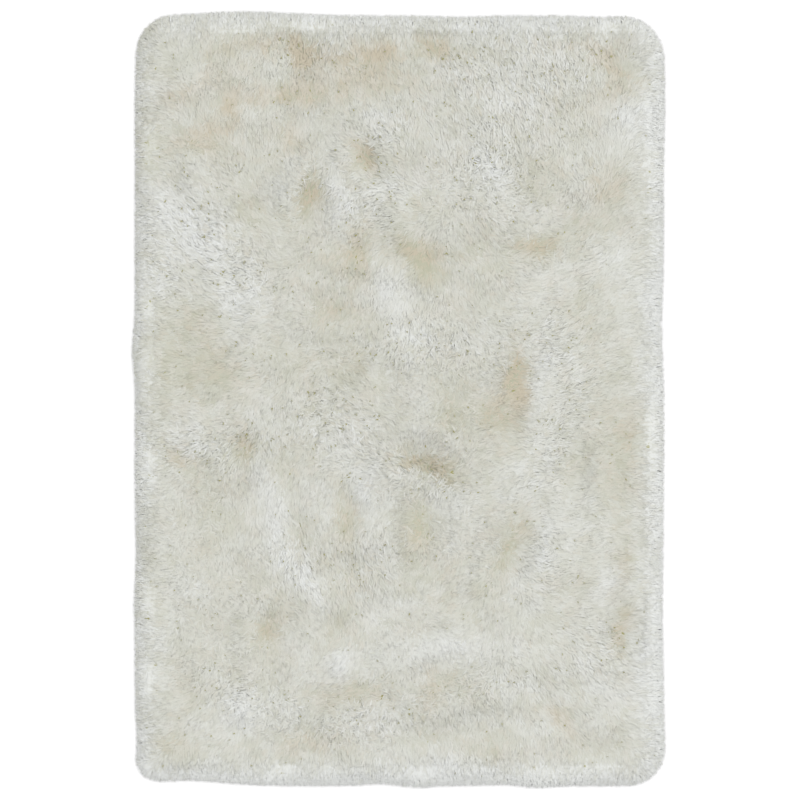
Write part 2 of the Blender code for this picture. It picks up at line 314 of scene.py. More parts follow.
# Ovals where the pile is tousled into loose tufts
Tousle = namedtuple("Tousle", "x y long wide turn")
TOUSLES = tuple(starmap(Tousle, (
    (-0.25, 1.03, 0.12, 0.06, 0),
    (0.30, 1.01, 0.20, 0.09, 0),
    (0.48, 0.94, 0.14, 0.10, 60),
    (-0.02, 0.80, 0.10, 0.06, 10),
    (0.28, 0.73, 0.18, 0.13, 90),
    (-0.10, 0.58, 0.12, 0.07, 20),
    (-0.60, 0.52, 0.12, 0.08, -50),
    (-0.48, 0.38, 0.14, 0.09, -60),
    (-0.68, 0.38, 0.10, 0.05, 90),
    (0.09, 0.17, 0.20, 0.07, 0),
    (0.45, 0.17, 0.08, 0.07, 90),
    (-0.17, -0.07, 0.17, 0.10, -45),
    (-0.52, -0.13, 0.24, 0.06, 5),
    (0.46, -0.10, 0.20, 0.06, 70),
    (0.08, -0.22, 0.10, 0.06, -30),
    (-0.31, -0.48, 0.09, 0.06, -60),
    (-0.10, -0.48, 0.10, 0.07, 70),
    (0.42, -0.46, 0.07, 0.03, 90),
    (0.59, -0.74, 0.08, 0.07, 70),
    (0.30, -0.84, 0.13, 0.03, 10),
    (-0.44, -0.88, 0.18, 0.05, -25),
    (-0.06, -0.95, 0.16, 0.06, 10),
)))

# The bed at the rim, from the floor up: inset from the outline, height, how far it follows the
# hollows inside it, and for its locks how many degrees their stand is turned up from the outward
# side, and their length and loft beside inner ones
Step = namedtuple("Step", "inset height follows stand reach loft")
RIM_STEPS = (
    Step(0.047, 0.0036, 0.0, 80, 0.85, 0.60),
    Step(0.033, 0.0048, 0.0, 80, 0.90, 0.65),
    Step(0.024, 0.0130, 0.0, 60, 0.80, 0.85),
    Step(0.025, 0.0230, 0.1, 52, 0.80, 0.95),
    Step(0.034, 0.0320, 0.4, 58, 0.90, 1.00),
    Step(0.048, 0.0375, 0.7, 69, 0.95, 1.00),
    Step(0.066, 0.0410, 1.0, 79, 1.00, 1.00),
)
RIM_POINTS = 400
LOCK_LOFT = 0.004
LOWEST_BED = 0.006


# How strongly the rim and the slopes turn the tufts beside the combing, and their stray turns
RIM_LEAN, SLOPE_LEAN = 2.6, 0.9
RIM_LEAN_FROM, RIM_LEAN_SPREAD = 0.03, 0.075
SLOPE_REACH = 0.012
COMBED_BEYOND = 1.3  # how far past its reach a combing is felt
STRAYS = (Mottle(0.10, 3.0, 0.55), Mottle(0.10, 7.0, 0.55))

LEAST_TOUSLED = 0.10
TOUSLE_MOTTLE = Mottle(0.12, 17.0, 0.2)

# Paleness of the sleek pile, what tousling adds to it, the painted shade and light that each metre
# of rise adds, darker in hollows and lighter on mounds, and how warm it is
SLEEK_PALE, TOUSLED_PALE, PAINTED_LIGHT_AND_SHADE_BY_RISE = 0.50, 0.11, 8
PALE_MOTTLES = (Mottle(0.16, 5.0, 0.16), Mottle(0.045, 9.0, 0.15))
SLEEK_WARM = 0.25
WARM_MOTTLE = Mottle(0.10, 13.0, 0.38)
PAINTED_PATCH_STRENGTH = 1.2
PATCH_SHIFTS = (Mottle(0.07, 21.0, 0.03), Mottle(0.07, 25.0, 0.03))  # make their outlines ragged

# Painted light on the rim: how much lighter its locks are painted, what facing right, towards the
# light, and facing back add, and where that paleness levels off
BORDER_FROM, BORDER_SPREAD = 0.02, 0.07
RIM_PAINTED_LIGHT, RIGHT_PAINTED_LIGHT, BACK_PAINTED_LIGHT = 0.38, 0.09, -0.05
LEVEL_ABOVE, LEVELLING = 0.90, 0.4


def bump(offset, spread):
    """1 in the middle of a feature, fading to 0 past its spread. Takes numbers and arrays."""
    return np.exp(-((offset / spread) ** 2))


def heading_vector(degrees):
    return Vector((math.cos(math.radians(degrees)), math.sin(math.radians(degrees))))


def corner_arcs():
    """The four corner arcs, anticlockwise, as points with their outward directions."""
    stations = []
    for corner in CORNERS:
        middle = Vector((
            corner.x - math.copysign(corner.radius, corner.x),
            corner.y - math.copysign(corner.radius, corner.y),
        ))
        for step in range(ARC_STEPS + 1):
            outward = heading_vector(corner.start + 90 * step / ARC_STEPS)
            stations.append((middle + corner.radius * outward, outward))
    return stations


ARCS = corner_arcs()
STRETCHES = [(a, b, (b[0] - a[0]).length) for a, b in zip(ARCS, ARCS[1:] + ARCS[:1])]
PERIMETER = sum(length for _, _, length in STRETCHES)


def edge_swell(point, outward):
    """How far the side's bulges move this point of the outline."""
    move = Vector((0, 0))
    for wave in EDGE_WAVES:
        side = SIDES[wave.side]
        facing = outward.dot(side)
        if facing > 0:
            along = point.y if side.x else point.x
            move += side * facing * wave.push * float(bump(along - wave.at, wave.spread))
    return move


def rim(share, inset):
    """The point at this share of the way round the outline, this far inside it, and its way out."""
    left = share % 1 * PERIMETER
    for (point, outward), (next_point, next_outward), length in STRETCHES:
        if left <= length:
            break
        left -= length
    point = point.lerp(next_point, left / length)
    outward = outward.lerp(next_outward, left / length).normalized()
    return point + edge_swell(point, outward) - inset * outward, outward


def from_rim(x, y):
    """Distance inside the mean outline, and the direction in which that is nearest."""
    corner = next(c for c in CORNERS if (c.x > 0) == (x > 0) and (c.y > 0) == (y > 0))
    from_x, from_y = abs(corner.x) - abs(x), abs(corner.y) - abs(y)
    side_x, side_y = math.copysign(1, x), math.copysign(1, y)
    if from_x < corner.radius and from_y < corner.radius:
        to_arc = Vector((corner.radius - from_x, corner.radius - from_y))
        outward = Vector((side_x * to_arc.x, side_y * to_arc.y))
        return corner.radius - to_arc.length, outward.normalized()
    if from_x < from_y:
        return from_x, Vector((side_x, 0))
    return from_y, Vector((0, side_y))


def oval(places, row):
    """1 in the middle of a row's oval, fading to 0 past its half sizes, at each of these places."""
    offset = places - (row.x, row.y)
    long_way = heading_vector(row.turn)
    along = offset @ (long_way.x, long_way.y)
    across = offset @ (-long_way.y, long_way.x)
    return bump(along, row.long) * bump(across, row.wide)


def lumps_at(places):
    """How far the hollows and mounds raise the pile at each of these places."""
    return sum(lump.rise * oval(places, lump) for lump in LUMPS)


def mottled(places, row):
    """A row's soft noise, between plus and minus its strength, at each of these places."""
    points = (Vector((x / row.span, y / row.span, row.layer)) for x, y in places)
    return row.strength * np.array([noise.noise(point) for point in points])


def bed_height(places):
    """Height of the bed of roots away from the rim, under hollows, mounds and tussocks."""
    height = PILE_HEIGHT - LOCK_LOFT + lumps_at(places)
    height += mottled(places, TUSSOCKS)
    return np.maximum(height, LOWEST_BED)


def combed(places):
    """Which way the tufts lean: outward at the rim and inside it as combed, up to 1 long."""
    lean = np.zeros((len(places), 2))
    for row in COMBINGS:
        near = bump(np.hypot(*(places - (row.x, row.y)).T), row.reach * COMBED_BEYOND)
        lean += near[:, None] * heading_vector(row.heading)
    for number, (x, y) in enumerate(places):
        depth, outward = from_rim(x, y)
        near = bump(max(depth - RIM_LEAN_FROM, 0), RIM_LEAN_SPREAD)
        lean[number] += RIM_LEAN * near * np.array(outward)
    for axis, shift in enumerate(((SLOPE_REACH, 0), (0, SLOPE_REACH))):
        rise = lumps_at(places + shift) - lumps_at(places - shift)
        lean[:, axis] += SLOPE_LEAN * rise / (2 * SLOPE_REACH)
        lean[:, axis] += mottled(places, STRAYS[axis])
    return lean / np.maximum(np.linalg.norm(lean, axis=1), 1)[:, None]


def tousled_at(places):
    """How tousled the pile is, from 0 where it lies sleek to 1 in its loose tufts."""
    amount = LEAST_TOUSLED + mottled(places, TOUSLE_MOTTLE)
    return np.clip(amount + sum(oval(places, row) for row in TOUSLES), 0, 1)


def colour_at(places):
    """How pale the yarn is, from 0 in the deepest hollow to 1 on the whitest tufts: its tone, with
    painted shade in the hollows and shade patches, painted sheen on the mounds and sheen patches,
    and painted light on the rim, strongest facing right; how warm it is, and how near the border it
    is, from 0 inside to 1 at the rim."""
    # painted shade in the hollows and painted light on the mounds, by their rise
    pale = SLEEK_PALE + TOUSLED_PALE * tousled_at(places) + PAINTED_LIGHT_AND_SHADE_BY_RISE * lumps_at(places)
    pale += sum(mottled(places, row) for row in PALE_MOTTLES)
    warm = SLEEK_WARM + mottled(places, WARM_MOTTLE)
    ragged = places + np.stack([mottled(places, row) for row in PATCH_SHIFTS], 1)
    # painted shade in the shade patches and painted sheen in the sheen patches
    for patch in SHADE_AND_SHEEN_PATCHES:
        near = oval(ragged, patch)
        pale += PAINTED_PATCH_STRENGTH * patch.pale * near
        warm += patch.warm * near
    border = np.zeros(len(places))
    for number, (x, y) in enumerate(places):
        depth, outward = from_rim(x, y)
        border[number] = bump(max(depth - BORDER_FROM, 0), BORDER_SPREAD)
        # painted light on the rim, more on the side facing right, towards the light, less at the
        # back
        painted_rim_light = RIM_PAINTED_LIGHT + RIGHT_PAINTED_LIGHT * outward.x + BACK_PAINTED_LIGHT * outward.y
        pale[number] += border[number] * painted_rim_light
    pale -= LEVELLING * border * np.maximum(pale - LEVEL_ABOVE, 0)
    return pale, warm * (1 - border), border


# ---------------- settings

def length_setting(name, description, default, least):
    return bpy.props.FloatProperty(
        name=name, description=description, default=default, min=least, unit="LENGTH",
    )


def share_setting(name, description, default, most=1.0):
    return bpy.props.FloatProperty(
        name=name, description=description, default=default, min=0, max=most, subtype="FACTOR",
    )


def whole_setting(name, description, default, **limits):
    return bpy.props.IntProperty(name=name, description=description, default=default, **limits)


def colour_setting(name, description, *default):
    return bpy.props.FloatVectorProperty(
        name=name, description=description, default=default, subtype="COLOR", min=0, max=1,
    )


class RugSizes(bpy.types.PropertyGroup):
    """Sizes of the base cloth and the pile."""

    hem_width: length_setting("Hem width", "Width of the cloth's folded hem", 0.024, 0.005)
    bed_spacing: length_setting(
        "Bed spacing", "Distance between the points of the bed of roots", 0.022, 0.01)
    lock_length: length_setting(
        "Lock length", "Length of a lock from its root to its end", 0.038, 0.01)
    lock_width: length_setting(
        "Lock width", "Width of a lock where it is widest", 0.0046, 0.001)
    lock_spacing: length_setting(
        "Lock spacing", "Least distance between the roots of two locks", 0.0031, 0.002)
    clump_size: length_setting(
        "Clump size", "Width of the clumps in which locks draw together", 0.018, 0.005)
    clump_pull: share_setting(
        "Clump pull", "How strongly the locks of a clump draw together", 0.35, 2.0)
    tangle: share_setting(
        "Tangle", "How much the locks lie across the way they are combed", 0.40, 3.0)
    lock_relief: share_setting(
        "Lock relief", "How much of its own roundness each lock shows in the light", 0.095)
    # Gaps are short dark locks, lifted onto the others, that paint the shade of gaps between the
    # locks
    gaps: share_setting(
        "Gaps", "Share of the roots where a dark gap shows between the locks", 0.0035)
    zones: whole_setting(
        "Zones", "How many pieces the locks are divided into, front to back", 6, min=1, max=12)
    seed: whole_setting("Seed", "Another number gives another arrangement of the locks", 4)


class RugColours(bpy.types.PropertyGroup):
    """Colours of the yarn, the cloth and the floor."""

    ivory: colour_setting("Ivory", "Ends of the palest locks", 0.743, 0.756, 0.735)
    # Beige and blush are the painted shade of the hollows, plain and warm; root is the painted
    # shade deep in the gaps between the locks and at their roots
    beige: colour_setting("Beige", "Ends of the locks in the hollows", 0.462, 0.459, 0.343)
    root: colour_setting("Root", "The yarn deep in the gaps between the locks", 0.35, 0.335, 0.13)
    blush: colour_setting("Blush", "Ends of the locks in the warmest hollows", 0.541, 0.485, 0.371)
    cloth: colour_setting("Base cloth", "Threads of the base cloth", 0.62, 0.56, 0.45)
    floor: colour_setting("Floor", "The pale floor under the rug", 0.92, 0.92, 0.92)


# ---------------- nodes

def math_node(operation, swapped=False):
    """An operator of Signal, which adds this Math node."""
    def apply(self, other):
        return self.net.math(operation, *((other, self) if swapped else (self, other)))
    return apply


class Signal:
    """An output of a node that takes part in Python sums."""

    def __init__(self, net, made, socket):
        self.net, self.made, self.socket = net, made, socket

    def __getitem__(self, name):
        """Another output of the same node."""
        return Signal(self.net, self.made, self.net.find(self.made.outputs, name))

    __add__ = __radd__ = math_node("ADD")
    __mul__ = __rmul__ = math_node("MULTIPLY")
    __sub__, __rsub__ = math_node("SUBTRACT"), math_node("SUBTRACT", swapped=True)
    __truediv__, __rtruediv__ = math_node("DIVIDE"), math_node("DIVIDE", swapped=True)


class Net:
    """Makes and links the nodes of one tree."""

    def __init__(self, tree):
        self.tree = tree

    def find(self, sockets, name):
        return next(socket for socket in sockets if socket.name == name and socket.enabled)

    def feed(self, socket, value):
        """Links a signal to a socket, or sets a plain value on it."""
        if isinstance(value, Signal):
            self.tree.links.new(value.socket, socket)
        elif socket.type == "RGBA" and len(value) == 3:
            socket.default_value = (*value, 1)
        else:
            socket.default_value = value

    def node(self, kind, settings=None, *values, **named):
        """The first output of a new node: its settings are made first, then its sockets are fed,
        in order or by their names, with _ for a blank."""
        made = self.tree.nodes.new(kind)
        for name, value in (settings or {}).items():
            setattr(made, name, value)
        for socket, value in zip([s for s in made.inputs if s.enabled], values):
            self.feed(socket, value)
        for name, value in named.items():
            self.feed(self.find(made.inputs, name.replace("_", " ")), value)
        shown = [socket for socket in made.outputs if socket.enabled]
        return Signal(self, made, shown[0] if shown else None)

    def math(self, operation, *values):
        return self.node("ShaderNodeMath", {"operation": operation}, *values)

    def vector(self, operation, *values, **named):
        return self.node("ShaderNodeVectorMath", {"operation": operation}, *values, **named)

    def scale(self, vector, factor):
        return self.vector("SCALE", vector, Scale=factor)

    def parts(self, vector):
        return self.node("ShaderNodeSeparateXYZ", None, vector)

    def smooth(self, value, low, high):
        """0 below low and 1 above high, with a soft rise between them."""
        settings = {"interpolation_type": "SMOOTHSTEP"}
        return self.node("ShaderNodeMapRange", settings, value, low, high)

    def mix(self, factor, first, second, blend="MIX"):
        """Two colours mixed by factor, each a signal or three numbers."""
        settings = {"data_type": "RGBA", "blend_type": blend}
        return self.node("ShaderNodeMix", settings, factor, first, second)

    def relief(self, height, strength, depth):
        """Normals as if the surface rose with this height, over so much depth."""
        return self.node("ShaderNodeBump", None, Strength=strength, Distance=depth, Height=height)


# ---------------- materials

LOOKS = 32  # looks of a lock along each side of its map: paleness one way, warmth the other
STRANDS = 4  # looks of the same colour, with their fibres laid in other ways
LOOK_MARGIN = 0.10  # share of a look's cell left free at each of its edges

# Each lock is painted darker towards its root with the root colour, as painted shade; the next two
# say where along it that painted shade fades, and how far it is faded even at the foot
ROOT_PAINTED_SHADE = (0.05, 0.40)  # where along a lock the shade of its root starts to fade, and ends
ROOT_FADED = 0.90  # how far the root's own colour is faded even at its foot
FIBRES = 9  # about how many fibres lie across a lock
FIBRE_TONE, FIBRE_ROUGHNESS = 0.22, 0.2
THREAD_PITCH, STITCH_PITCH = 0.0036, 0.012
FLOOR_GLOW = 0.16


def new_material(name, finish, colours):
    """A material whose Principled sockets are fed from what finish returns for them."""
    material = bpy.data.materials.new(name)
    material.use_nodes = True
    net = Net(material.node_tree)
    shader = material.node_tree.nodes["Principled BSDF"]
    for socket, value in finish(net, colours).items():
        net.feed(shader.inputs[socket], value)
    return material


def yarn_finish(net, colours):
    """Silky yarn read from the locks' own map, where each cell is one look of a lock: darker at its
    root as painted shade, pale at its end, with fine fibres along it; its paleness carries the
    pile's painted shade and light. The first column is the painted shade of a gap, for the short
    dark locks that stand in for gaps."""
    place = net.node("ShaderNodeUVMap", {"uv_map": "OFBake"})
    parts = net.parts(place)
    across, along = parts["X"] * LOOKS, parts["Y"] * LOOKS
    pale = net.math("FLOOR", across) / (LOOKS - 1)
    row = net.math("FLOOR", along)
    warm = net.math("FLOOR", row / STRANDS) / (LOOKS / STRANDS - 1)
    around, up = net.math("FRACT", across), net.math("FRACT", along)
    fibre = net.node(
        "ShaderNodeTexNoise", {"noise_dimensions": "1D"},
        W=around * FIBRES + row * 19.7 + pale * 5, Scale=1.0, Detail=2.0,
    )
    # ends go from beige and blush, the painted shade of hollows, to ivory by paleness, which
    # carries painted shade and light with the yarn's tone
    end = net.mix(warm * (1 - pale * 0.5), colours.beige, colours.blush)
    end = net.mix(pale, end, colours.ivory)
    # painted shade at the root of each lock: its end colour darkened towards the root colour
    foot = net.mix(ROOT_FADED, colours.root, end)
    colour = net.mix(net.smooth(up, *ROOT_PAINTED_SHADE), foot, end)
    # painted shade of a gap, for the short dark locks that stand in for gaps
    shade = net.mix(row / LOOKS, colours.root, colours.beige)
    colour = net.mix(net.math("LESS_THAN", pale, 0.5 / LOOKS), colour, shade)
    bright = 1 + (fibre - 0.5) * FIBRE_TONE
    grey = net.node("ShaderNodeCombineColor", None, bright, bright, bright)
    return {
        "Base Color": net.mix(1.0, colour, grey, "MULTIPLY"),
        "Roughness": 0.55 + (fibre - 0.5) * FIBRE_ROUGHNESS,
        "Normal": net.relief(fibre, 0.25, 0.0006),
        "Specular IOR Level": 0.35,
        "Sheen Weight": 0.25,
        "Sheen Roughness": 0.4,
    }


def bed_finish(net, colours):
    """The yarn at the foot of the locks, lighter or darker by the pile's painted shade and light,
    with small dark specks of painted shade where gaps show between the tufts.
    """
    place = net.node("ShaderNodeTexCoord")["Object"]
    mottle = net.node("ShaderNodeTexNoise", None, Vector=place, Scale=110.0, Detail=3.0)
    gaps = net.node("ShaderNodeTexNoise", None, Vector=place, Scale=45.0, Detail=1.0)
    # paleness with the pile's painted shade and light, as on the locks
    pale = net.node("ShaderNodeAttribute", {"attribute_name": "pale"})["Fac"]
    pale = net.smooth(pale * 0.7 + mottle * 0.6, 0.2, 1.1)
    colour = net.mix(pale, colours.beige, colours.ivory)
    return {
        # painted shade: small dark specks in the root colour where gaps show between the tufts
        "Base Color": net.mix(net.smooth(gaps, 0.66, 0.76), colour, colours.root),
        "Roughness": 0.9,
        "Normal": net.relief(mottle, 0.6, 0.002),
    }


def cloth_finish(net, colours):
    """Plain-woven base cloth with the rows of stitches that hold the yarn."""
    place = net.node("ShaderNodeTexCoord")["Object"]
    parts = net.parts(place)
    turns = 2 * math.pi
    warp = net.math("SINE", parts["X"] * (turns / THREAD_PITCH))
    weft = net.math("SINE", parts["Y"] * (turns / THREAD_PITCH))
    rows = net.math("SINE", parts["X"] * (turns / STITCH_PITCH)) * 0.5 + 0.5
    fleck = net.node("ShaderNodeTexNoise", None, Vector=place, Scale=60.0, Detail=3.0)
    weave = warp * weft * 0.5 + 0.5
    dark = [part * 0.72 for part in colours.cloth]
    pale = [min(part * 1.18, 1) for part in colours.cloth]
    colour = net.mix(net.smooth(weave * 0.6 + fleck * 0.6, 0.35, 0.85), dark, colours.cloth)
    return {
        "Base Color": net.mix(net.smooth(rows, 0.8, 1.0) * 0.5, colour, pale),
        "Roughness": 0.85 + fleck * 0.1,
        "Normal": net.relief(weave + rows, 0.5, 0.0008),
    }


def floor_finish(net, colours):
    """A white floor with a little light of its own, so that no shadow rings the rug."""
    return {
        "Base Color": colours.floor,
        "Roughness": 0.9,
        "Emission Color": colours.floor,
        "Emission Strength": FLOOR_GLOW,
    }


# ---------------- meshes

UNDERSIDE_SPACING = 0.2


def add_object(name, mesh, material):
    piece = bpy.data.objects.new(name, mesh)
    bpy.context.scene.collection.objects.link(piece)
    mesh.materials.clear()
    mesh.materials.append(material)
    return piece


def mesh_of(bm, name):
    """The mesh of a bmesh, with its faces turned outward."""
    bmesh.ops.recalc_face_normals(bm, faces=bm.faces)
    mesh = bpy.data.meshes.new(name)
    bm.to_mesh(mesh)
    bm.free()
    mesh.shade_smooth()
    return mesh


def fill(bm, ring, inset, spacing, height_at):
    """Triangles across a closed ring of vertices, with points inside it on a staggered grid."""
    places = [vertex.co.xy for vertex in ring]
    row_step = spacing * math.sqrt(0.75)
    rows = int((SIDE_BACK - SIDE_FRONT) / row_step) + 1
    columns = int((SIDE_RIGHT - SIDE_LEFT) / spacing) + 1
    for row in range(rows):
        for column in range(columns):
            x = SIDE_LEFT + (column + row % 2 / 2) * spacing
            y = SIDE_FRONT + row * row_step
            if from_rim(x, y)[0] > inset + spacing * 0.6:
                places.append(Vector((x, y)))
    inner = np.array(places[len(ring):])
    vertices = ring + [bm.verts.new(place) for place in np.c_[inner, height_at(inner)]]
    edges = [(i, (i + 1) % len(ring)) for i in range(len(ring))]
    _, _, triangles, origins, _, _ = delaunay_2d_cdt(places, edges, [], 1, 1e-6)
    for triangle in triangles:
        bm.faces.new([vertices[origins[corner][0]] for corner in triangle])
    return vertices[len(ring):]


def fill_flat(bm, ring, inset):
    """Triangles across a closed ring of vertices that all lie at one height."""
    height = ring[0].co.z
    fill(bm, ring, inset, UNDERSIDE_SPACING, lambda places: np.full(len(places), height))


def join_rings(bm, rings):
    """Faces between each closed ring of vertices and the next."""
    for lower, upper in zip(rings, rings[1:]):
        for number in range(len(lower)):
            after = (number + 1) % len(lower)
            bm.faces.new((lower[number], lower[after], upper[after], upper[number]))


def set_attribute(mesh, name, values):
    """Gives each vertex of the mesh a number or a vector under this name."""
    values = np.array(values, np.float32)
    kind, key = ("FLOAT_VECTOR", "vector") if values.ndim == 2 else ("FLOAT", "value")
    mesh.attributes.new(name, kind, "POINT").data.foreach_set(key, values.ravel())


def bed_mesh(spacing):
    """The bed of roots as a closed mesh, whose vertices hold how the locks grow on them."""
    bm = bmesh.new()
    rings, growth = [], []
    for step in RIM_STEPS:
        stations = [rim(number / RIM_POINTS, step.inset) for number in range(RIM_POINTS)]
        places = np.array([place for place, _ in stations])
        heights = step.height + step.follows * (bed_height(places) - RIM_STEPS[-1].height)
        rings.append([bm.verts.new(place) for place in np.c_[places, heights]])
        up, out = math.cos(math.radians(step.stand)), math.sin(math.radians(step.stand))
        for _, outward in stations:
            lean = (*(outward * out), -up)
            stand = (*(outward * up), out)
            growth.append((lean, stand, step.reach, step.loft, 1.0))
    join_rings(bm, rings)
    top = fill(bm, rings[-1], RIM_STEPS[-1].inset, spacing, bed_height)
    fill_flat(bm, rings[0], RIM_STEPS[0].inset)
    bmesh.ops.recalc_face_normals(bm, faces=bm.faces)
    bm.normal_update()
    leans = combed(np.array([vertex.co.xy for vertex in top]))
    for vertex, lean in zip(top, leans):
        growth.append(((*lean, 0.0), tuple(vertex.normal), 1.0, 1.0, 1.0))
    underside = len(bm.verts) - len(growth)
    growth += [((1.0, 0.0, 0.0), (0.0, 0.0, -1.0), 1.0, 1.0, 0.0)] * underside
    mesh = mesh_of(bm, "pile_bed")
    for name, values in zip(("lean", "stand", "reach", "loft", "grows"), zip(*growth)):
        set_attribute(mesh, name, values)
    places = read_vectors(mesh.vertices, "co")[:, :2]
    # the paleness each vertex holds carries painted shade and light as well as the yarn's tone
    for name, values in zip(("pale", "warm", "border"), colour_at(places)):
        set_attribute(mesh, name, values)
    set_attribute(mesh, "tousled", tousled_at(places))
    return mesh


# Section of the base cloth from underneath round its edge to its top: inset from the edge in hem
# widths, and height as a share of the thickness
Fold = namedtuple("Fold", "inset height")
HEM_FOLDS = (
    Fold(1.04, 0.20),
    Fold(1.00, 0.00),
    Fold(0.03, 0.00),
    Fold(0.00, 0.30),
    Fold(0.00, 0.70),
    Fold(0.03, 1.00),
)


def cloth_mesh(hem_width):
    """The base cloth: one layer, with a hem folded under along its edge."""
    low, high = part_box("backing")
    bm = bmesh.new()
    insets, rings = [], []
    for fold in HEM_FOLDS:
        insets.append(low.y - SIDE_FRONT + fold.inset * hem_width)
        height = low.z + fold.height * (high.z - low.z)
        places = [(*(point - insets[-1] * outward), height) for point, outward in ARCS]
        rings.append([bm.verts.new(place) for place in places])
    join_rings(bm, rings)
    for level in (0, -1):
        fill_flat(bm, rings[level], insets[level])
    mesh = mesh_of(bm, "backing_cloth")
    mesh.set_sharp_from_angle(angle=math.radians(30))
    return mesh


# ---------------- locks

# Bend of a lock, beside its length: how far along its middle lies, how high its middle and its
# end stand, and how far its middle and its end sway sideways, in lock widths
Bend = namedtuple("Bend", "along rise end sway drift")
BENDS = (
    Bend(0.36, 0.08, 0.05, 0.3, -0.6),
    Bend(0.32, 0.07, 0.03, -0.4, 0.7),
    Bend(0.40, 0.08, 0.06, -0.2, -1.0),
    Bend(0.34, 0.09, 0.04, 0.5, 0.3),
    Bend(0.42, 0.07, 0.03, 0.1, 1.1),
    Bend(0.30, 0.08, 0.07, -0.5, -0.2),
)
END_AT = 0.90
ROOT_SINK = 0.04


def lock_mesh(name, bend):
    """A lock one long and one wide: a closed kite bent down at both ends, with a keel below."""
    root, end = (0, 0, -ROOT_SINK), (END_AT, bend.drift, bend.end)
    left = (bend.along, bend.sway + 0.5, bend.rise)
    right = (bend.along, bend.sway - 0.5, bend.rise)
    faces = np.array([(0, 2, 1), (3, 1, 2), (0, 1, 3), (0, 3, 2)])
    places = np.array([(0.5, 0), (0, 0.4), (1, 0.4), (0.5, 1)], np.float32)
    mesh = bpy.data.meshes.new(name)
    mesh.from_pydata((root, left, right, end), [], faces.tolist())
    mesh.shade_smooth()
    mesh.uv_layers.new(name="OFBake").data.foreach_set("uv", places[faces.ravel()].ravel())
    return mesh


# The inputs of the locks' tree, under the kinds of their sockets
LOCK_INPUTS = {
    "Collection": ("Locks",),
    "Float": (
        "Length", "Width", "Spacing", "Clump Size", "Clump Pull", "Tangle", "Gaps",
        "From Y", "To Y",
    ),
    "Int": ("Seed",),
    "Material": ("Material",),
}

# A trait of the locks: its strength where the pile lies sleek, and what full tousling and the
# border add to it
Trait = namedtuple("Trait", "sleek tousled border")
DRAWN = Trait(0.7, 1.2, 1.0)  # together in clumps
TOSSED = Trait(0.5, 1.0, 0.0)  # each clump its own way
LOOSE = Trait(0.57, 0.60, 0.38)  # turned on their roots
LOFTED = Trait(0.37, 0.68, 0.0)
# PARTED sets how many short dark locks of painted gap shade there are
PARTED = Trait(0.4, 3.6, 0.0)  # by gaps
FLECKED = Trait(0.01, 0.11, 0.0)  # in tone, lock by lock
STREAKED = Trait(0.02, 0.25, 0.40)  # in tone, strand by strand

MOST_ROOTS = 260000.0  # for each square metre, before the spacing thins them
TWISTS = (0.25, 0.06, 0.2)  # most roll, pitch and yaw of a lock, in radians
LENGTHS, WIDTHS, LOFTS = (0.80, 1.12), (0.75, 1.25), (0.72, 1.12)
# The short dark locks of painted gap shade: their lengths, and how far they are lifted to lie on
# top
GAP_LENGTHS = (0.08, 0.28)  # of the locks in a gap, beside full ones
GAP_LIFT = 0.0035
PARTING_CLUMPS = (0.75, 0.97)  # the clumps that part, by their chance: few, and fully
STRANDS_IN_CLUMP = 2.2


